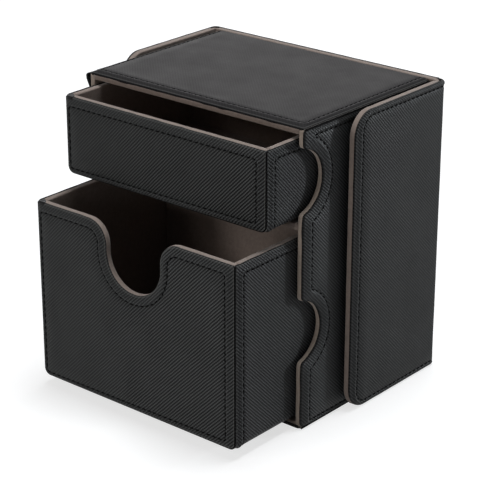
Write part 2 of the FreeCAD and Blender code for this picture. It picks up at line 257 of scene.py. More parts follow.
def normals(loop):
    """Inward mitre directions of a closed counter-clockwise loop."""
    ahead = np.roll(loop, -1, axis=0) - loop
    ahead = ahead / np.linalg.norm(ahead, axis=1, keepdims=True)
    left = np.stack((-ahead[:, 1], ahead[:, 0]), axis=1)
    before = np.roll(left, 1, axis=0)
    return (left + before) / (1 + np.sum(left * before, axis=1, keepdims=True))


def arc_length(line):
    """Distance along a line at each of its points."""
    return np.concatenate(([0], np.cumsum(np.linalg.norm(np.diff(line, axis=0), axis=1))))


def resampled(loop, spacing):
    """A closed loop cut into equal steps of about the spacing, with the arc length of each point."""
    around = np.vstack((loop, loop[:1]))
    run = arc_length(around)
    count = max(8, round(run[-1] / spacing))
    places = np.arange(count) * run[-1] / count
    return np.stack([np.interp(places, run, around[:, k]) for k in (0, 1)], axis=1), places


def nearest(points, line):
    """Distance from each point to the nearest point of a finely cut line, and that point's index."""
    gaps = np.empty(len(points))
    where = np.empty(len(points), int)
    for start in range(0, len(points), 500):
        part = points[start:start + 500, None, :] - line[None, :, :]
        squares = np.sum(part * part, axis=2)
        where[start:start + 500] = squares.argmin(axis=1)
        gaps[start:start + 500] = np.sqrt(squares.min(axis=1))
    return gaps, where


def inside(points, loop):
    """True for the points that a closed loop surrounds."""
    found = np.zeros(len(points), bool)
    x, y = points[:, 0], points[:, 1]
    for (x0, y0), (x1, y1) in zip(loop, np.roll(loop, -1, axis=0)):
        crosses = (y0 > y) != (y1 > y)
        if y1 != y0:
            found ^= crosses & (x < x0 + (y - y0) * (x1 - x0) / (y1 - y0))
    return found


# Maps from a flat outline to space

def flat_map(facing, level):
    """The map from a flat outline to a plane at this distance along its outward direction."""
    across, up = (np.array(axis, float) for axis in FACINGS[facing])
    out = np.cross(across, up)

    def place(flat, height):
        return flat[:, :1] * across + flat[:, 1:] * up + (level + height)[:, None] * out

    return place


def limits(node):
    """Low and high corner of a node's box."""
    return tuple(np.array(corner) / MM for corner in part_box(node))


def face_of(node, facing):
    """The box of a node on one of its faces, as low and high on both axes, and the map onto that face."""
    low, high = limits(node)
    across, up = (np.array(axis, float) for axis in FACINGS[facing])
    spans = [sorted((axis @ low, axis @ high)) for axis in (across, up, np.cross(across, up))]
    return spans[0] + spans[1], flat_map(facing, spans[2][1])


def bent(profile, axis):
    """The map that bends a sheet round a profile in space; the sheet's second axis stays straight."""
    profile = np.array(profile, float)
    axis = np.array(axis, float)
    run = arc_length(profile)
    tangent = np.gradient(profile, run, axis=0)
    out = np.cross(tangent / np.linalg.norm(tangent, axis=1, keepdims=True), axis)

    def place(flat, height):
        on_line = np.stack([np.interp(flat[:, 0], run, profile[:, k]) for k in range(3)], axis=1)
        away = np.stack([np.interp(flat[:, 0], run, out[:, k]) for k in range(3)], axis=1)
        away = away / np.linalg.norm(away, axis=1, keepdims=True)
        return on_line + flat[:, 1:] * axis + height[:, None] * away

    return run, place


# Sheets and walls

def waver(points, size, seed):
    """Slow, small unevenness over a sheet."""
    return np.array([noise.noise(Vector((x / size, y / size, seed))) for x, y in points])


def fill(loop, inner):
    """Triangles over a closed loop, using points inside it; indices run through the loop, then the points."""
    flat = [Vector(point) for point in np.vstack((loop, inner))]
    found = geometry.delaunay_2d_cdt(flat, [], [list(range(len(loop)))], 1, 1e-5)
    source = [origins[0] if origins else None for origins in found[3]]
    faces = [[source[i] for i in face] for face in found[2]]
    return [face for face in faces if None not in face]


def edge_steps(thick, roll, under):
    """Insets and heights of the rings round a sheet's edge, from the back face to the front face."""
    steps = [(under + BACK_LIP, -thick)]
    for a in np.radians(UNDER_TURN):
        steps.append((under * (1 - math.sin(a)), under * (1 - math.cos(a)) - thick))
    for a in np.radians(FACE_TURN):
        steps.append((roll * (1 - math.cos(a)), -roll * (1 - math.sin(a))))
    steps.append((roll + FACE_LIP, 0.0))
    return steps


def sheet(corners, place, thick, roll, under=UNDER_ROLL, row=None, seed=0.0, grid=GRID, folds=(),
          droop=0.0, kept=None, plain=math.inf, extra=None):
    """A closed sheet with rolled edges, pressed in along a stitch row.

    The edge is drawn down, but not at the place across the sheet that is kept, and above the plain height
    it has no hem. Extra heights may be added. Returns the points and faces, and how far each point is from
    the edge and from the row.
    """
    edge = rounded(corners)
    edge = edge + normals(edge) * (EDGE_WAVER * waver(edge, EDGE_WAVER_SIZE, seed + EDGE_SEED))[:, None]
    thick = max(thick, roll + under)
    steps = edge_steps(thick, roll, under)
    rings = [edge + normals(edge) * inset for inset, _ in steps]
    inner = interior_points(rings[-1], row, grid, folds)
    behind = interior_points(rings[0], None, grid, folds) if len(folds) else np.empty((0, 2))
    flat = np.vstack(rings + [inner, behind])
    heights = np.repeat([height for _, height in steps], len(edge))
    heights = np.concatenate((heights, np.zeros(len(inner)), np.full(len(behind), -thick)))
    gaps = nearest(flat, edge[edge[:, 1] < plain])[0]
    apart = np.full(len(flat), FAR)
    count, total = len(edge), len(flat) - len(behind)
    upper = slice((1 + len(UNDER_TURN)) * count, total)
    if row is not None:
        apart = nearest(flat, resampled(row, ROW_STEP / 2)[0])[0]
    heights[upper] += relief(flat[upper], gaps[upper], row, seed)
    drawn = droop * np.clip(1 - gaps / HEM, 0, 1) ** 2
    if kept is not None:
        drawn = drawn * np.clip(np.abs(flat[:, 0] - kept) / HEM, 0, 1)
    heights -= drawn
    if extra is not None:
        heights += extra(flat)
    faces = []
    for ring in range(len(rings) - 1):
        low, high = ring * count, (ring + 1) * count
        for i in range(count):
            j = (i + 1) % count
            faces.append((low + i, low + j, high + j, high + i))
    last = (len(rings) - 1) * count
    faces += [tuple(last + i for i in face) for face in fill(rings[-1], inner)]
    for face in fill(rings[0], behind):
        faces.append(tuple(i if i < count else total + i - count for i in reversed(face)))
    return place(flat, heights), faces, {"edge_gap": gaps, "row_gap": apart}


def interior_points(loop, row, grid, folds):
    """Points inside a sheet: an even grid, lines beside the stitch row and lines along folds."""
    low, high = loop.min(axis=0), loop.max(axis=0)
    xs = np.arange(low[0] + grid / 2, high[0], grid)
    ys = np.arange(low[1] + grid / 2, high[1], grid)
    xs = np.array(sorted(set(xs) | set(folds)))
    even = np.array([(x, y) for x in xs for y in ys]).reshape(-1, 2)
    found = []
    if row is not None:
        line, _ = resampled(row, ROW_STEP)
        even = even[nearest(even, line)[0] > ROW_CLEAR]
        side = normals(line)
        found = [line + side * offset for offset in ROW_LINES]
    points = np.vstack([even] + found)
    points = points[inside(points, loop)]
    return points[nearest(points, loop)[0] > EDGE_CLEAR]


def relief(flat, gaps, row, seed):
    """Heights over a sheet: slow unevenness, the swelling of the hem and the groove of the stitches."""
    rise = FACE_WAVER * waver(flat, FACE_WAVER_SIZE, seed) * np.clip(gaps / CALM_EDGE, 0, 1)
    if row is None:
        return rise
    line, places = resampled(row, ROW_STEP)
    apart, where = nearest(flat, line)
    holes = 0.5 + 0.5 * np.cos(2 * math.pi * places[where] / stitch_length(row))
    swelling = np.where(inside(flat, row), INNER_SWELL, SWELL)
    rise += swelling * np.exp(-((apart - CREST) / CREST_WIDTH) ** 2) * np.clip(gaps, 0, 1)
    rise -= (GROOVE + HOLE * holes) * np.exp(-(apart / GROOVE_WIDTH) ** 2)
    return rise


def stitch_length(row):
    """The pitch that fits a whole number of stitches on a closed row."""
    _, places = resampled(row, PITCH)
    return places[1] - places[0]


# Stitching

def stitches(row, loop, place, seed, droop):
    """Short threads along a closed row, each diving into the leather at both ends."""
    length = stitch_length(row)
    around = np.vstack((row, row[:1]))
    run = arc_length(around)
    stations = np.array(STATIONS) * STITCH / 2
    lifts = np.array(LIFTS) - THREAD_SINK
    sides = np.arange(THREAD_SIDES) * 2 * math.pi / THREAD_SIDES
    points, faces = [], []
    for i in range(round(run[-1] / length)):
        middle = (i + 0.5) * length
        at = [np.interp((middle + stations) % run[-1], run, around[:, k]) for k in (0, 1)]
        path = np.stack(at, axis=1)
        gaps = nearest(path, loop)[0]
        if not inside(path, loop).all() or gaps.min() < STITCH_CLEAR:
            continue
        along = path[-1] - path[0]
        along = along / np.linalg.norm(along)
        side = np.array((-along[1], along[0]))
        lean = LEAN + LEAN_VARY * noise.noise(Vector((i * 0.7, seed, 0.5)))
        path = path + side * (stations * lean)[:, None]
        drop = droop * np.clip(1 - gaps / HEM, 0, 1) ** 2
        flat = (path[:, None, :] + side * (THREAD * np.cos(sides))[None, :, None]).reshape(-1, 2)
        height = ((lifts - drop)[:, None] + THREAD * np.sin(sides)[None, :]).ravel()
        faces += tube_faces(len(points) * len(flat), len(stations), THREAD_SIDES)
        points.append(place(flat, height))
    return np.vstack(points), faces


def tube(path, radius, sides=SHADE_TUBE_SIDES):
    """A closed round cord along a path in space."""
    path = np.array(path, float)
    along = np.gradient(path, axis=0)
    along = along / np.linalg.norm(along, axis=1, keepdims=True)
    angles = (np.arange(sides) * 2 * math.pi / sides)[:, None]
    side = np.array((0.36, 0.48, 0.8))
    rings = []
    for point, ahead in zip(path, along):
        side = side - ahead * (side @ ahead)
        side = side / np.linalg.norm(side)
        rings.append(point + radius * (np.cos(angles) * side + np.sin(angles) * np.cross(ahead, side)))
    return np.vstack(rings), tube_faces(0, len(path), sides)


def tube_faces(start, rings, sides):
    """Faces of one closed tube of rings."""
    faces = []
    for ring in range(rings - 1):
        low, high = start + ring * sides, start + (ring + 1) * sides
        for i in range(sides):
            j = (i + 1) % sides
            faces.append((low + j, low + i, high + i, high + j))
    faces.append(tuple(start + i for i in range(sides)))
    faces.append(tuple(start + (rings - 1) * sides + i for i in reversed(range(sides))))
    return faces


# Pieces

def add_piece(name, body, parts, material, slot, nodes=()):
    """One object from closed shells, riding on its body where that is named, and standing for CAD nodes."""
    points, faces = [], []
    start = 0
    for part in parts:
        points.append(part[0])
        faces += [tuple(start + i for i in face) for face in part[1]]
        start += len(part[0])
    mesh = bpy.data.meshes.new(name)
    mesh.from_pydata((np.vstack(points) * MM).tolist(), [], faces)
    measures = parts[0][2] if slot == "black_skin" and len(parts[0]) > 2 else {}
    for key, values in measures.items():
        data = mesh.attributes.new(key, "FLOAT", "POINT").data
        data.foreach_set("value", values.astype(np.float32))
    mesh.polygons.foreach_set("use_smooth", np.ones(len(mesh.polygons), bool))
    mesh.materials.append(material)
    mesh.validate()
    mesh.update()
    piece = bpy.data.objects.new(name, mesh)
    bpy.context.scene.collection.objects.link(piece)
    if isinstance(body, str):
        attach(piece, body)
    else:
        parent, child, start_point, end_point = body
        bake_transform(piece)
        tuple(start_point)
        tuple(end_point)
    if nodes:
        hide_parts(*nodes)
    return piece


def add_leather(name, body, place, corners, row, look, nodes, seed, thick, roll, droop=DROOP, **options):
    """A leather sheet with its stitch row."""
    row = rounded(row, step=ARC_STEP)
    part = sheet(corners, place, thick, roll, row=row, seed=seed, droop=droop, **options)
    add_piece(name + "_leather", body, [part], LEATHER[look], "black_skin", nodes)
    threads = stitches(row, rounded(corners), place, seed, droop)
    add_piece(name + "_stitching", body, [threads], THREAD_LOOK, "black_skin")


def suede_wall(corners, facing, level, thick, seed, roll=SUEDE_ROLL):
    """A wall wrapped in suede, on the plane of its inner face."""
    under = min(SUEDE_UNDER, thick / 3)
    return sheet(corners, flat_map(facing, level), thick, roll, under=under, seed=seed, grid=COARSE_GRID)


def add_suede(name, body, parts, nodes, look=None):
    """A suede lining from its walls."""
    add_piece(name + "_suede", body, parts, look or SUEDE, "taupe_lining", nodes)


def thumb(top, away, lip):
    """Corners of the thumb cut-out on an upper edge, or of a line kept outside it, from right to left."""
    half = THUMB_HALF + away
    low = top - THUMB_LOW - away
    edge = top - away
    return [(half, edge, lip), (half, low, half), (-half, low, half), (-half, edge, lip)]


def grip(edge, centre):
    """Corners of one finger grip on a front edge, from above."""
    lean = math.asin((GRIP_LIP + GRIP_RADIUS - GRIP_DEPTH) / (GRIP_RADIUS + GRIP_LIP))
    inner = GRIP_RADIUS * math.tan(math.pi / 4 - lean / 2)
    mouth = inner + GRIP_DEPTH * math.tan(lean)
    deep = edge + GRIP_DEPTH
    return [(edge, centre + mouth, GRIP_LIP), (deep, centre + inner, GRIP_RADIUS),
            (deep, centre - inner, GRIP_RADIUS), (edge, centre - mouth, GRIP_LIP)]


def grip_row(edge, centre, start):
    """Corners of the stitch row round one finger grip, from a start angle above it down to its lower end."""
    radius = GRIP_RADIUS + ROW_SEAM
    back = GRIP_DEPTH - GRIP_RADIUS
    end = -math.acos((ROW_SEAM - back) / radius)
    row = []
    for angle in np.linspace(math.radians(start), end, GRIP_ROW_POINTS):
        row.append((edge + back + radius * math.cos(angle), centre + radius * math.sin(angle), 0))
    row[-1] = row[-1][:2] + (GRIP_ROW_TURN,)
    return row


# Drawers

def make_drawer(name, seed, low_left, low_right, has_thumb):
    """One drawer: front, back and wrap in leather, and five suede walls."""
    make_drawer_front(name, seed, low_left, low_right, has_thumb)
    spans, place = face_of(name + "_back_skin", "back")
    back = rectangle(spans, PANEL_CORNER, SEAM, SEAM, SEAM, RIM)
    row = rectangle(spans, ROW_TURN, ROW_SEAM, ROW_SEAM, ROW_LOW, ROW_RIM)
    add_leather(name + "_back", name, place, back, row, "front", [name + "_back_skin"], seed + 1,
                DRAWER_SKIN, SEAM_ROLL)
    make_drawer_wrap(name, seed)
    make_drawer_lining(name, seed, has_thumb)
    make_drawer_seams(name)
    make_corner_cap(name, seed)


def make_drawer_front(name, seed, low_left, low_right, has_thumb):
    """The leather of a drawer's front, whose stitch row has its own height at the lower left and right."""
    spans, place = face_of(name + "_front_skin", "front")
    u0, u1, v0, v1 = spans
    turn = EDGE_RADIUS - FRONT_SEAM / 2
    left, right, low = u0 + FRONT_SEAM, u1 - FRONT_SEAM, v0 + FRONT_SEAM
    front = [(left, low, turn), (right, low, turn), (right, v1 - RIM, FRONT_RIGHT_CORNER)]
    row = [(u0 + ROW_LEFT, v0 + low_left, ROW_TURN), (u1 - ROW_SEAM, v0 + low_right, ROW_TURN),
           (u1 - ROW_SEAM, v1 - ROW_RIM, ROW_TURN)]
    if has_thumb:
        front += thumb(v1 - RIM, 0, THUMB_LIP)
        row += thumb(v1, ROW_RIM, THUMB_LIP - ROW_RIM)
    front.append((left, v1 - RIM, FRONT_LEFT_CORNER))
    row.append((u0 + ROW_LEFT, v1 - ROW_RIM, ROW_TURN))
    add_leather(name + "_front", name, place, front, row, "front", [name + "_front_skin"], seed,
                DRAWER_SKIN, SEAM_ROLL)


def make_drawer_wrap(name, seed):
    """The leather down the left side, under the floor and up the right side."""
    low, high = limits(name + "_front_skin")
    x0, z0, x1, z1 = low[0], low[2], high[0], high[2] - RIM
    y0 = low[1]
    y1 = limits(name + "_back_skin")[1][1]
    line = rounded([(x1, z1, 0), (x1, z0, EDGE_RADIUS), (x0, z0, EDGE_RADIUS), (x0, z1 + DRAWER_RISE, 0)],
                   closed=False)
    run, place = bent([(x, 0, z) for x, z in line], (0, 1, 0))
    spans = (0, run[-1], y0, y1)
    wrap = rectangle(spans, WRAP_CORNER, 0, 0, SEAM, SEAM)
    wrap[1] = wrap[1][:2] + (WRAP_LEFT_CORNER,)
    row = rectangle(spans, ROW_TURN, ROW_RIM, ROW_RIM, ROW_SEAM, ROW_SEAM)
    add_leather(name + "_wrap", name, place, wrap, row, "wrap", [name + "_wrap_skin"], seed + 2,
                DRAWER_SKIN, SEAM_ROLL, folds=tuple(run[1:-1:2]), kept=run[-1])


def make_drawer_lining(name, seed, has_thumb):
    """Five suede-wrapped walls of a drawer."""
    (x0, y0, z0), (x1, y1, z1) = limits(name + "_lining")
    wall = DRAWER_WALL
    front = rectangle((-x1, -x0, z0, z1), SUEDE_CORNER)
    back = rectangle((x0, x1, z0, z1), SUEDE_CORNER)
    if has_thumb:
        front[3:3] = thumb(z1, 0, THUMB_LIP)
    side = rectangle((y0 + wall, y1 - wall, z0, z1), 0)
    floor = rectangle((x0 + wall, x1 - wall, y0 + wall, y1 - wall), 0)
    add_suede(name, name, [
        suede_wall(front, "back", y0 + wall, wall, seed),
        suede_wall(back, "front", wall - y1, wall, seed + 1),
        suede_wall(side, "right", x0 + wall, wall, seed + 2),
        suede_wall(mirrored(side), "left", wall - x1, wall, seed + 3),
        suede_wall(floor, "top", z0 + SUEDE_SHEET, SUEDE_SHEET, seed + 4, roll=SHEET_ROLL),
    ], [name + "_lining"])


def make_drawer_seams(name):
    """The black cord in the seams round a drawer's front and back, put there as painted shade."""
    (x0, y0, z0), (x1, _, z1) = limits(name + "_front_skin")
    y1 = limits(name + "_back_skin")[1][1]
    inset = SEAM - SHADE_TUBE_OUT
    turn = EDGE_RADIUS - inset
    corners = [(x0 + inset, z1 - SHADE_TUBE_END, 0), (x0 + inset, z0 + inset, turn),
               (x1 - inset, z0 + inset, turn), (x1 - inset, z1 - SHADE_TUBE_END, 0)]
    line = rounded(corners, closed=False)
    shade_tubes = [tube([(x, y, z) for x, z in line], SEAM_SHADE_TUBE) for y in (y0 + inset, y1 - inset)]
    add_piece(name + "_seam_shade", name, shade_tubes, THREAD_LOOK, "black_skin")


def make_corner_cap(name, seed):
    """The leather turned over the rim at a drawer's left front corner."""
    low, high = limits(name + "_front_skin")
    x0, y0 = low[0] + CAP_LEFT, low[1] + CAP_FRONT
    notch_x, notch_y = CAP_NOTCH
    cap = [(x0, y0, CAP_CORNER), (x0 + CAP_WIDTH, y0, CAP_TIP),
           (x0 + notch_x, y0 + notch_y, CAP_NOTCH_TURN), (x0, y0 + CAP_DEPTH, CAP_TIP)]
    place = flat_map("top", high[2] + CAP_RISE)
    part = sheet(cap, place, CAP_SKIN, CAP_ROLL, seed=seed + 9, grid=CAP_GRID)
    # The cap takes the side look, whose painted shade on hems darkens all of this small cap
    add_piece(name + "_corner_cap", name, [part], LEATHER["side"], "black_skin")


# Case

def make_case():
    """The open-fronted case: five leather faces, a black cord in each seam as painted shade, and suede walls
    inside.
    """
    half, _, top = limits("case_top_skin")[1]
    front, back = face_of("case_right_skin", "right")[0][:2]
    make_case_top()
    make_case_bottom()
    make_case_sides(front, back, top)
    make_case_back(half, top)
    make_case_seams(half, front, back, top)
    make_case_walls()
    make_case_back_lining()
    make_shelf_lining()


def make_case_top():
    """The leather of the top, whose back edge is plain."""
    spans, place = face_of("case_top_skin", "top")
    corners = rectangle(spans, PANEL_CORNER, SEAM, SEAM, RIM, 0.0)
    row = rectangle(spans, ROW_TURN, ROW_LEFT, ROW_RIM, ROW_RIM, -BEYOND)
    add_leather("case_top", "case", place, corners, row, "top", ["case_top_skin"], 10, CASE_SKIN, SEAM_ROLL,
                droop=TOP_DROOP, plain=spans[3] - PLAIN_EDGE)


def make_case_bottom():
    """The leather that the case stands on."""
    spans, place = face_of("case_bottom_skin", "bottom")
    corners = rectangle(spans, FOOT_RADIUS, SEAM, SEAM, 0.0, RIM)
    row = rectangle(spans, ROW_TURN, ROW_RIM, ROW_RIM, ROW_RIM, ROW_RIM)
    add_leather("case_bottom", "case", place, corners, row, "top", ["case_bottom_skin"], 10, FOOT_SKIN,
                SEAM_ROLL, droop=0.0)


def make_case_sides(front, back, top):
    """The leather of the two sides, with finger grips in their front edges."""
    spans = (front, back, 0.0, top)
    corners = rectangle(spans, PANEL_CORNER, RIM, SEAM, SEAM, TOP_SEAM)
    corners[0] = corners[0][:2] + (FOOT_RADIUS,)
    row = rectangle(spans, ROW_TURN, ROW_SEAM, ROW_SEAM, ROW_LOW, ROW_RIM)
    row[3] = row[3][:2] + (SHARP_TURN,)
    for centre, start in zip(GRIP_HEIGHTS, GRIP_ROW_STARTS):
        corners += grip(front + RIM, centre)
        row += grip_row(front, centre, start)

    def ear(flat):
        """The front upper corner of the left side stands out a little."""
        deep = (flat[:, 0] + front) / EAR_DEPTH
        high = (flat[:, 1] - top + EAR_DROP) / EAR_HEIGHT
        return EAR_OUT * np.exp(-deep ** 2 - high ** 2)

    _, place = face_of("case_right_skin", "right")
    add_leather("case_right", "case", place, corners, row, "side", ["case_right_skin"], 12, CASE_SKIN,
                SEAM_ROLL)
    _, place = face_of("case_left_skin", "left")
    add_leather("case_left", "case", place, mirrored(corners), mirrored(row), "side", ["case_left_skin"], 13,
                CASE_SKIN, SEAM_ROLL, extra=ear)


def make_case_back(half, top):
    """The leather of the back, which the cover hides."""
    _, place = face_of("case_back_skin", "back")
    spans = (-half, half, 0.0, top)
    corners = rectangle(spans, PANEL_CORNER, SEAM, SEAM, SEAM, TOP_SEAM)
    row = rectangle(spans, ROW_TURN, ROW_SEAM, ROW_SEAM, ROW_LOW, ROW_RIM)
    add_leather("case_back", "case", place, corners, row, "back", ["case_back_skin"], 14, DRAWER_SKIN,
                SEAM_ROLL)


def make_case_seams(half, front, back, top):
    """The black cord in the seams round the top, round the bottom and up the two back corners, put there as
    painted shade.
    """
    inset = SEAM - CASE_SHADE_TUBE_OUT
    x, y = half - inset, back - inset
    start, end = front + CASE_SHADE_TUBE_START, top - TOP_SEAM
    corners = [(-x, start, 0), (-x, y, PANEL_CORNER), (x, y, PANEL_CORNER), (x, start, 0)]
    line = rounded(corners, closed=False)
    shade_tubes = [tube([(u, v, z) for u, v in line], SEAM_SHADE_TUBE) for z in (inset, end + CASE_SHADE_TUBE_OUT)]
    for side in (-x, x):
        heights = np.linspace(PANEL_CORNER, end, SHADE_TUBE_POINTS)
        shade_tubes.append(tube([(side, y, z) for z in heights], SEAM_SHADE_TUBE))
    add_piece("case_seam_shade", "case", shade_tubes, THREAD_LOOK, "black_skin")


def make_case_walls():
    """Suede-wrapped sides, top and bottom of the case."""
    inner, front, _ = limits("case_right_lining")[0]
    back = limits("case_back_board")[1][1]
    foot = FOOT_SKIN - CASE_SKIN
    low = limits("case_bottom_lining")[0][2] + foot
    high = limits("case_top_lining")[1][2]
    side = rectangle((front, back, low, high), SUEDE_CORNER)
    for centre in GRIP_HEIGHTS:
        side += grip(front, centre)
    # The side walls take a paler copy of the suede, as painted light
    for name, facing, corners in (("right", "left", mirrored(side)), ("left", "right", side)):
        wall = suede_wall(corners, facing, -inner, CASE_WALL, 20)
        add_suede("case_" + name, "case", [wall], ["case_" + name + "_lining"], LIT_SUEDE)

    roof = rectangle((-inner, inner, -back, -front), 0, -WALL_TUCK, -WALL_TUCK)
    level = -limits("case_top_lining")[0][2]
    wall = suede_wall(roof, "bottom", level, CASE_WALL, 24)
    add_suede("case_top", "case", [wall], ["case_top_lining"])

    floor = rectangle((-inner, inner, front, back), 0, -WALL_TUCK, -WALL_TUCK)
    level = limits("case_bottom_lining")[1][2] - SLIDE_ROOM
    wall = suede_wall(floor, "top", level, CASE_WALL - foot - SLIDE_ROOM, 24)
    add_suede("case_bottom", "case", [wall], ["case_bottom_lining"])


def make_case_back_lining():
    """The thin suede inside the back."""
    low, high = limits("case_back_lining")
    thick = high[1] - low[1]
    spans, place = face_of("case_back_lining", "front")
    part = sheet(rectangle(spans, 0), place, thick, SHEET_ROLL, under=thick / 3, seed=26, grid=COARSE_GRID)
    add_suede("case_back", "case", [part], ["case_back_lining"])


def make_shelf_lining():
    """The suede on the shelf between the drawers."""
    low, high = limits("shelf_lining")
    thick = high[2] - low[2] - SLIDE_ROOM
    spans, _ = face_of("shelf_lining", "top")
    wall = suede_wall(rectangle(spans, 0), "top", high[2] - SLIDE_ROOM, thick, 26)
    add_suede("shelf", "case", [wall], ["shelf_lining"])


# Cover

def make_cover():
    """The wrap cover: back panel, two flaps, and the folds between them."""
    spans, place = face_of("cover_back_skin", "back")
    corners = rectangle(spans, 0, 0, 0, RIM, -COVER_RISE)
    row = rectangle(spans, ROW_TURN, -BEYOND, -BEYOND, ROW_FOOT, ROW_LOW)
    add_leather("cover_back", "cover", place, corners, row, "front", ["cover_back_skin"], 30, FLAP_SKIN,
                RIM_ROLL, droop=0.0)
    spans, place = face_of("cover_back_lining", "front")
    part = sheet(rectangle(spans, SUEDE_CORNER), place, FLAP_WALL, SUEDE_ROLL, under=SUEDE_UNDER, seed=31,
                 grid=COARSE_GRID)
    add_suede("cover_back", "cover", [part], ["cover_back_lining"])
    for side, sign in (("right", 1), ("left", -1)):
        make_flap(side, sign)
        make_flap_lining(side, sign)
        make_fold_lining(side, sign)


def make_flap(side, sign):
    """The leather of one flap, which runs on round the fold."""
    (x0, front, bottom), (x1, back, top) = limits(side + "_flap_skin")
    outer = x1 if sign > 0 else x0
    edge, rear, _ = limits("cover_back_skin")[1]
    edge = edge * sign
    line = rounded([(outer, front, 0), (outer, rear, FOLD_RADIUS), (edge, rear, 0)], closed=False)
    run, place = bent([(x, y, 0) for x, y in line][::sign], (0, 0, 1))
    total = run[-1]
    foot = bottom + RIM
    rim = top - RIM if sign > 0 else top + COVER_RISE
    corners = [(0, foot, FLAP_CORNER), (total, foot, 0), (total, rim, 0), (0, rim, FLAP_CORNER)]
    end, low, high = total + BEYOND, bottom + ROW_FOOT, top - ROW_LOW
    row = [(ROW_FLAP, low, FLAP_ROW_TURN), (end, low, PANEL_CORNER),
           (end, high, PANEL_CORNER), (ROW_FLAP, high, FLAP_ROW_TURN)]
    folds = [s for s in arc_length(line)[1:-1] if s > back - front]
    joint = total
    if sign < 0:
        joint = 0.0
        corners = [(total - x, y, r) for x, y, r in reversed(corners)]
        row = [(total - x, y, r) for x, y, r in reversed(row)]
        folds = [total - s for s in folds]
    middle = (top + bottom) / 2 * MM
    body = ("cover", side + "_flap", (edge * MM, rear * MM, middle), (outer * MM, back * MM, middle))
    nodes = [side + "_flap_skin", "cover_" + side + "_fold"]
    add_leather(side + "_flap", body, place, corners, row, "flap", nodes, 40 + sign, FLAP_SKIN, RIM_ROLL,
                droop=FLAP_DROOP, folds=folds, kept=joint)


def make_flap_lining(side, sign):
    """The suede inside one flap."""
    spans, place = face_of(side + "_flap_lining", "left" if sign > 0 else "right")
    u0, u1, v0, v1 = spans
    first, last = (SUEDE_CORNER, FLAP_CORNER)[::sign]
    shape = [(u0, v0, first), (u1, v0, last), (u1, v1, last), (u0, v1, first)]
    part = sheet(shape, place, FLAP_WALL, SUEDE_ROLL, under=SUEDE_UNDER, seed=44 + sign, grid=COARSE_GRID)
    add_suede(side + "_flap", side + "_flap", [part], [side + "_flap_lining"])


def make_fold_lining(side, sign):
    """The strip of suede tucked into a fold."""
    low, high = limits("cover_back_lining")
    inner, face = high[0], low[1]
    end = limits(side + "_flap_lining")[1][1]
    first = (inner - FOLD_START, face + FOLD_BACK)
    corner = (inner + FOLD_OUT, face + FOLD_BACK)
    last = (inner + FOLD_OUT, end - FOLD_END)
    line = rounded([first + (0,), corner + (FOLD_TURN,), last + (0,)], closed=False, step=FOLD_STEP)
    profile = [(x * sign, y, 0) for x, y in line][::-sign]
    run, place = bent(profile, (0, 0, 1))
    strip = rectangle((0, run[-1], low[2], high[2]), 0, 0, 0, FOLD_INSET, FOLD_INSET)
    part = sheet(strip, place, FOLD_STRIP, FOLD_ROLL, seed=50 + sign, grid=COARSE_GRID, folds=list(run[1:-1]))
    middle = (low[2] + high[2]) / 2 * MM
    start, finish = ((x * sign * MM, y * MM, middle) for x, y in (first, last))
    add_suede("cover_" + side + "_fold", ("cover", side + "_flap", start, finish), [part], ())


# Materials

class Nodes:
    """A short way to write node trees."""

    def __init__(self, name):
        self.material = bpy.data.materials.new(name)
        self.material.use_nodes = True
        self.tree = self.material.node_tree
        self.shader = self.tree.nodes["Principled BSDF"]

    def add(self, kind, settings=(), **inputs):
        """A new node with its settings and inputs."""
        node = self.tree.nodes.new(kind)
        for key, value in dict(settings).items():
            setattr(node, key, value)
        for key, value in inputs.items():
            self.put(node.inputs[key], value)
        return node

    def put(self, socket, value):
        """Link a socket, or set its value."""
        if isinstance(value, bpy.types.NodeSocket):
            self.tree.links.new(value, socket)
        else:
            socket.default_value = value

    def where(self):
        """The place on the object, in metres."""
        return self.add("ShaderNodeTexCoord").outputs["Object"]

    def math(self, operation, first, second=0.0):
        """One step of arithmetic."""
        node = self.add("ShaderNodeMath", {"operation": operation})
        self.put(node.inputs[0], first)
        self.put(node.inputs[1], second)
        return node.outputs[0]

    def dot(self, first, second):
        """How far a place lies along a direction."""
        node = self.add("ShaderNodeVectorMath", {"operation": "DOT_PRODUCT"})
        self.put(node.inputs[0], first)
        self.put(node.inputs[1], second)
        return node.outputs["Value"]

    def noise(self, where, scale, detail=3.0, rough=0.55):
        """Soft noise from 0 to 1."""
        node = self.add("ShaderNodeTexNoise", Vector=where, Scale=scale, Detail=detail, Roughness=rough)
        return node.outputs["Fac"]

    def mix(self, share, first, second):
        """A blend of two colours."""
        node = self.add("ShaderNodeMix", {"data_type": "RGBA"})
        self.put(node.inputs["Factor"], share)
        self.put(node.inputs["A"], first)
        self.put(node.inputs["B"], second)
        return node.outputs["Result"]

    def remap(self, value, low, high, to_low, to_high):
        """A value moved from one range to another, and held inside it."""
        node = self.add("ShaderNodeMapRange")
        sockets = ("Value", "From Min", "From Max", "To Min", "To Max")
        for socket, number in zip(sockets, (value, low, high, to_low, to_high)):
            self.put(node.inputs[socket], number)
        return node.outputs["Result"]

    def bump(self, height, distance):
        """The normal of a fine relief."""
        return self.add("ShaderNodeBump", Strength=1.0, Distance=distance, Height=height).outputs["Normal"]

    def finish(self, **inputs):
        """The material, with the shader's inputs set."""
        for key, value in inputs.items():
            self.put(self.shader.inputs[key.replace("_", " ")], value)
        return self.material


def shade(red, green, blue):
    """A colour as it looks on a screen, from 0 to 255, as a linear colour."""
    def linear(value):
        value = value / 255
        return value / 12.92 if value <= 0.04045 else ((value + 0.055) / 1.055) ** 2.4
    return (linear(red), linear(green), linear(blue), 1.0)


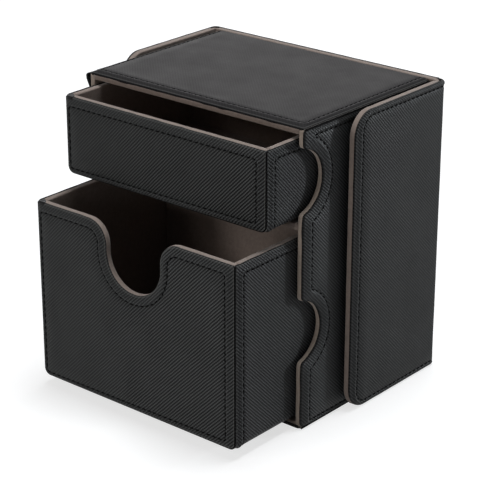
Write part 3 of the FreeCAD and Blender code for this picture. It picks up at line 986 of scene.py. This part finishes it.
# Leather: noise scales per metre, strength of its wobble, cross cuts and grain, and its tone between ridges,
# about which ridge tops take painted highlight and valleys painted shade
WOBBLE_SCALE, EMBOSS_SCALE, TONE_SCALE, GRAIN_SCALE, GLOSS_SCALE = 260, 45, 60, 2600, 90
NOISE_RANGE = (0.3, 0.7)
EMBOSS_RANGE = (0.8, 1.2)
WOBBLE = 2.2
CUT_LOW = 0.65
GRAIN = 0.3
# The crest power and the plain tone set the painted highlight on ridge tops and the painted shade in the
# valleys
LIT_CREST_POWER = 1.6
PLAIN_TONE = 0.35
DULL_RANGE, ROUGH_RANGE = (0.6, 1.4), (0.42, 0.56)

# Distances from the edge and from the stitch row, in millimetres, over which the leather changes
EMBOSS_HEM = (2.8, 4.2)
# Painted shade on the hem, which turns away from the light
PAINTED_SHADE_HEM = (1.2, 2.8)
# A pale line near the edge, partly rubbed leather and partly painted highlight on the rolled edge
RUB_GLINT_START, RUB_GLINT_END = (0.25, 0.45), (0.5, 0.9)
# Painted shade at the very edge, in seams and beside rims
PAINTED_EDGE_SHADE = (0.0, 0.3)
# Painted shade in the stitch groove
GROOVE_SHADE_RANGE, GROOVE_SHADE_SHARE = (0.1, 0.5), 0.45

# Colours of the leather
DEEP_BLACK = shade(4, 4, 5)
# Black of the painted shade at the edge
EDGE_SHADE_BLACK = shade(4, 4, 4)
# Black of the painted shade in the stitch groove
GROOVE_SHADE_BLACK = shade(3, 3, 3)
# Grey of the pale edge line, partly rubbed leather and partly painted highlight
RUBBED_LIT_GREY = shade(125, 125, 122)


def make_leather(name, ridge, cross, spacing, along, fade, hem_emboss, hem_painted_shade=0.0, edge_painted_shade=0.85,
                 rubbed_and_lit=0.22, depth=0.2, patchy=0.2, painted_end_shade=1.0, gloss=0.1, light=shade(74, 76, 77)):
    """Black embossed leather: slanted ridges broken by fine cross cuts, with painted highlight on ridge tops
    and painted shade between them, painted shade on hems, at edges and along stitch rows, and a pale line
    near the edge that is partly rubbed leather and partly painted highlight.

    Along an axis, fade gives two places in millimetres and the strength of the emboss at each, and the
    argument after patchy gives the share of the tone at the first place, a painted shade that darkens that
    end.
    """
    n = Nodes(name)
    where = n.where()
    place = n.dot(where, along)
    gap = n.add("ShaderNodeAttribute", {"attribute_name": "edge_gap"}).outputs["Fac"]
    row_gap = n.add("ShaderNodeAttribute", {"attribute_name": "row_gap"}).outputs["Fac"]
    turn = 2 * math.pi / (spacing * MM)
    wobble = n.math("MULTIPLY", n.noise(where, WOBBLE_SCALE, 2), WOBBLE)

    def wave(direction):
        """Even ridges in one direction, from 0 to 1."""
        phase = n.dot(where, tuple(turn * k for k in direction))
        return n.remap(n.math("SINE", n.math("ADD", phase, wobble)), -1, 1, 0, 1)

    # Strength of the emboss: along the axis, in patches, and on the hems
    start, end, strong, weak = fade
    emboss = n.remap(place, start * MM, end * MM, strong, weak)
    patches = n.remap(n.noise(where, EMBOSS_SCALE, 2), *NOISE_RANGE, *EMBOSS_RANGE)
    emboss = n.math("MULTIPLY", emboss, patches)
    emboss = n.math("MULTIPLY", emboss, n.remap(gap, *EMBOSS_HEM, hem_emboss, 1.0))

    # Height of the ridges and of the grain
    ridges = wave(ridge)
    cuts = n.remap(wave(cross), 0, 1, CUT_LOW, 1.0)
    grain = n.noise(where, GRAIN_SCALE, 3)
    height = n.math("MULTIPLY", n.math("MULTIPLY", ridges, cuts), emboss)
    height = n.math("ADD", height, n.math("MULTIPLY", grain, GRAIN))

    # Tone: painted highlight on ridge tops and painted shade between them, slow patches, painted shade on
    # hems and toward the darker end
    lit_crests = n.math("MULTIPLY", n.math("POWER", ridges, LIT_CREST_POWER), cuts)
    contrast = n.math("MULTIPLY", n.math("SUBTRACT", lit_crests, PLAIN_TONE), emboss)
    tone = n.math("ADD", contrast, PLAIN_TONE)
    patches = n.remap(n.noise(where, TONE_SCALE, 3), *NOISE_RANGE, 1.0 - patchy, 1.0)
    tone = n.math("MULTIPLY", tone, patches)
    # Painted shade on the hems, which turn away from the light
    tone = n.math("MULTIPLY", tone, n.remap(gap, *PAINTED_SHADE_HEM, 1.0 - hem_painted_shade, 1.0))
    # Painted shade toward the first place of the fade
    tone = n.math("MULTIPLY", tone, n.remap(place, start * MM, end * MM, painted_end_shade, 1.0))
    colour = n.mix(tone, DEEP_BLACK, light)

    # Pale line near the edge, partly rubbed leather and partly painted highlight; painted shade at the edge
    # and in the stitch groove
    # A pale line near the edge, partly rubbed leather and partly painted highlight on the rolled edge
    rub_and_glint = n.math("MULTIPLY", n.remap(gap, *RUB_GLINT_START, 0.0, rubbed_and_lit), n.remap(gap, *RUB_GLINT_END, 1.0, 0.0))
    colour = n.mix(rub_and_glint, colour, RUBBED_LIT_GREY)
    # Painted shade at the edge, in seams and beside rims
    colour = n.mix(n.remap(gap, *PAINTED_EDGE_SHADE, edge_painted_shade, 0.0), colour, EDGE_SHADE_BLACK)
    # Painted shade in the stitch groove
    colour = n.mix(n.remap(row_gap, *GROOVE_SHADE_RANGE, GROOVE_SHADE_SHARE, 0.0), colour, GROOVE_SHADE_BLACK)

    dull = n.math("ADD", grain, n.noise(where, GLOSS_SCALE, 2))
    rough = n.remap(dull, *DULL_RANGE, *ROUGH_RANGE)
    return n.finish(Base_Color=colour, Roughness=rough, Specular_IOR_Level=gloss,
                    Normal=n.bump(height, depth * MM))


def make_suede(name, dark, light):
    """Taupe suede with a short nap."""
    n = Nodes(name)
    where = n.where()
    nap = n.noise(where, 3800, 2, 0.7)
    brush = n.noise(where, 700, 4, 0.65)
    tone = n.math("ADD", n.math("MULTIPLY", nap, 0.5), n.math("MULTIPLY", brush, 0.6))
    colour = n.mix(tone, dark, light)
    return n.finish(Base_Color=colour, Roughness=0.95, Specular_IOR_Level=0.1, Sheen_Weight=0.35,
                    Sheen_Roughness=0.4, Normal=n.bump(n.math("ADD", nap, brush), 0.1 * MM))


def make_thread():
    """Black twisted thread."""
    n = Nodes("thread")
    where = n.where()
    wave = n.add("ShaderNodeTexWave", {"bands_direction": "DIAGONAL"}, Vector=where, Scale=900.0,
                 Distortion=2.0)
    twist = wave.outputs["Fac"]
    tone = n.math("MULTIPLY", n.math("ADD", twist, n.noise(where, 6000, 2)), 0.5)
    colour = n.mix(tone, shade(2, 2, 2), shade(10, 10, 11))
    return n.finish(Base_Color=colour, Roughness=0.85, Specular_IOR_Level=0.05,
                    Normal=n.bump(twist, 0.06 * MM))


def make_board():
    """Grey board with pressed fibres."""
    n = Nodes("grey_board")
    where = n.where()
    fibres = n.noise(where, 900, 6, 0.7)
    colour = n.mix(fibres, shade(58, 56, 53), shade(96, 93, 88))
    return n.finish(Base_Color=colour, Roughness=0.9, Normal=n.bump(fibres, 0.1 * MM))


def make_magnet():
    """Nickel-plated disc with fine turning marks."""
    n = Nodes("nickel")
    where = n.where()
    marks = n.noise(where, 1500, 4)
    rough = n.remap(marks, 0.3, 0.7, 0.22, 0.4)
    colour = n.mix(marks, shade(170, 168, 162), shade(200, 198, 193))
    return n.finish(Base_Color=colour, Roughness=rough, Metallic=1.0, Normal=n.bump(marks, 0.02 * MM))


def dress_cad_nodes():
    """Boards and magnets keep their CAD shape and get their own materials."""
    for name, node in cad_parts.items():
        if node.hide_render:
            continue
        node.data.materials.clear()
        node.data.materials.append(MAGNET if "magnet" in name else BOARD)


# Stage, in metres, degrees and watts

FLOOR_HALF, FLOOR_DROP = 6.0, 0.0002
FLOOR_COLOUR = (0.45, 0.45, 0.45, 1)
WHITE = (1, 1, 1, 1)
FLOOR_GLOW = 0.68
SURROUND = 0.045
MIDDLE = (0, 0, 0.06)
CAMERA_PLACE = (0.42929, -0.51656, 0.32701)
CAMERA_AZIMUTH, CAMERA_ELEVATION = 40.33, 22.315
CAMERA_LENS, CAMERA_SENSOR = 136.92, 36.0
CAMERA_NEAR = 0.01

# Soft boxes: name, place, size, power and colour
LIGHTS = (
    ("overhead", (0.03, 0.15, 1.3), 0.5, 13.5, (0.97, 1.0, 1.03)),
    ("key", (-0.42, -1.05, 0.74), 0.35, 1.3, (1.05, 0.99, 0.96)),
    ("front", (0.0, -1.3, 0.35), 0.3, 3.3, (1.02, 1.0, 0.98)),
    ("side", (0.58, 0.98, 0.17), 0.05, 5.2, (0.94, 1.0, 1.04)),
    ("rear", (-0.72, 0.85, 0.42), 0.6, 1.1, (1.02, 1.0, 0.99)),
)


def white_rays(tree):
    """One for the rays that see a white background: from the camera, mirrored or through glass."""
    rays = tree.nodes.new("ShaderNodeLightPath").outputs
    total = rays["Is Camera Ray"]
    for name in ("Is Glossy Ray", "Is Transmission Ray"):
        node = tree.nodes.new("ShaderNodeMath")
        node.operation = "ADD"
        node.use_clamp = True
        tree.links.new(total, node.inputs[0])
        tree.links.new(rays[name], node.inputs[1])
        total = node.outputs[0]
    return total


def make_floor():
    """A pale floor that shows white to the camera and keeps the shadow."""
    half = FLOOR_HALF
    corners = [(-half, -half, 0), (half, -half, 0), (half, half, 0), (-half, half, 0)]
    mesh = bpy.data.meshes.new("floor")
    mesh.from_pydata(corners, [], [(0, 1, 2, 3)])
    floor = bpy.data.objects.new("floor", mesh)
    floor.location.z = -FLOOR_DROP
    bpy.context.scene.collection.objects.link(floor)
    n = Nodes("floor")
    glow = n.math("MULTIPLY", white_rays(n.tree), FLOOR_GLOW)
    n.finish(Base_Color=FLOOR_COLOUR, Roughness=0.9, Specular_IOR_Level=0.1, Emission_Color=WHITE,
             Emission_Strength=glow)
    mesh.materials.append(n.material)


def make_world():
    """A soft grey surround that shows white in the picture and in reflections."""
    world = bpy.data.worlds.new("studio")
    world.use_nodes = True
    bpy.context.scene.world = world
    tree = world.node_tree
    surround = tree.nodes["Background"]
    surround.inputs["Color"].default_value = WHITE
    surround.inputs["Strength"].default_value = SURROUND
    white = tree.nodes.new("ShaderNodeBackground")
    white.inputs["Strength"].default_value = 1.0
    white.inputs["Color"].default_value = WHITE
    blend = tree.nodes.new("ShaderNodeMixShader")
    tree.links.new(white_rays(tree), blend.inputs["Fac"])
    tree.links.new(surround.outputs[0], blend.inputs[1])
    tree.links.new(white.outputs[0], blend.inputs[2])
    tree.links.new(blend.outputs[0], tree.nodes["World Output"].inputs["Surface"])


def add_light(name, place, size, power, colour):
    """A square soft box aimed at the object's middle."""
    lamp = bpy.data.lights.new(name, "AREA")
    lamp.shape = "SQUARE"
    lamp.size = size
    lamp.energy = power
    lamp.color = colour
    light = bpy.data.objects.new(name, lamp)
    light.location = place
    aim = Vector(MIDDLE) - Vector(place)
    light.rotation_euler = aim.to_track_quat("-Z", "Y").to_euler()
    bpy.context.scene.collection.objects.link(light)


def make_camera():
    """The camera at the photograph's viewpoint."""
    data = bpy.data.cameras.new("camera")
    data.sensor_width = CAMERA_SENSOR
    data.lens = CAMERA_LENS
    data.clip_start = CAMERA_NEAR
    camera = bpy.data.objects.new("camera", data)
    azimuth, elevation = math.radians(CAMERA_AZIMUTH), math.radians(CAMERA_ELEVATION)
    flat = math.cos(elevation)
    back = Vector((math.sin(azimuth) * flat, -math.cos(azimuth) * flat, math.sin(elevation)))
    camera.location = CAMERA_PLACE
    camera.rotation_euler = (-back).to_track_quat("-Z", "Y").to_euler()
    bpy.context.scene.collection.objects.link(camera)
    bpy.context.scene.camera = camera


# Directions of the emboss on upright faces to the front, on the sides and on the top
ACROSS = {"ridge": (1, 0, -1), "cross": (1, 0, 1), "spacing": 1.43, "along": (1, 0, 0)}
SIDEWAYS = {"ridge": (0, 1, 1), "cross": (0, 1, -1), "along": (0, 1, 0)}
FLAT = {"ridge": (1, 1, 0), "cross": (1, -1, 0), "spacing": 1.43, "along": (0, 1, 0)}

# One leather in per-face copies whose pale tones differ as painted light and shade: lighter on the fronts,
# darker on the wraps, flaps and top than on the sides and back
LEATHER = {
    "front": make_leather("leather_front", **ACROSS, fade=(-50, 40, 0.4, 1.3), hem_emboss=0.75,
                          edge_painted_shade=0.35, painted_end_shade=0.78, light=shade(91, 93, 93)),
    "back": make_leather("leather_back", **ACROSS, fade=(-50, 40, 0.6, 0.6), hem_emboss=0.9, rubbed_and_lit=0.0,
                         depth=0.06),
    "wrap": make_leather("leather_wrap", **SIDEWAYS, spacing=1.38, fade=(-70, 10, 1.4, 1.3), hem_emboss=1.0,
                         hem_painted_shade=0.1, depth=0.15, light=shade(65, 66, 67)),
    "side": make_leather("leather_side", **SIDEWAYS, spacing=1.39, fade=(-38, 30, 1.1, 0.4), hem_emboss=0.9,
                         hem_painted_shade=0.6, rubbed_and_lit=0.0, depth=0.14, gloss=0.12),
    "flap": make_leather("leather_flap", **SIDEWAYS, spacing=1.39, fade=(-38, 30, 1.1, 0.4), hem_emboss=0.9,
                         hem_painted_shade=0.3, edge_painted_shade=0.3, rubbed_and_lit=0.0, depth=0.14, patchy=0.32, gloss=0.09,
                         light=shade(69, 70, 70)),
    "top": make_leather("leather_top", **FLAT, fade=(-38, 38, 0.15, 0.1), hem_emboss=1.0, hem_painted_shade=0.45,
                        edge_painted_shade=0.35, rubbed_and_lit=0.2, depth=0.06, patchy=0.08, gloss=0.035,
                        light=shade(70, 68, 69)),
}
SUEDE = make_suede("suede", shade(97, 85, 79), shade(161, 147, 138))
# A paler copy of the suede for the case's side walls, as painted light on their front edges
LIT_SUEDE = make_suede("suede_painted_light", shade(122, 109, 100), shade(196, 181, 168))
THREAD_LOOK = make_thread()
BOARD = make_board()
MAGNET = make_magnet()

make_drawer("lower_drawer", seed=1.0, low_left=1.9, low_right=3.2, has_thumb=True)
make_drawer("upper_drawer", seed=5.0, low_left=2.4, low_right=3.2, has_thumb=False)
make_case()
make_cover()
dress_cad_nodes()
make_floor()
make_world()
make_camera()
for soft_box in LIGHTS:
    add_light(*soft_box)
bpy.context.scene.view_settings.view_transform = "Standard"
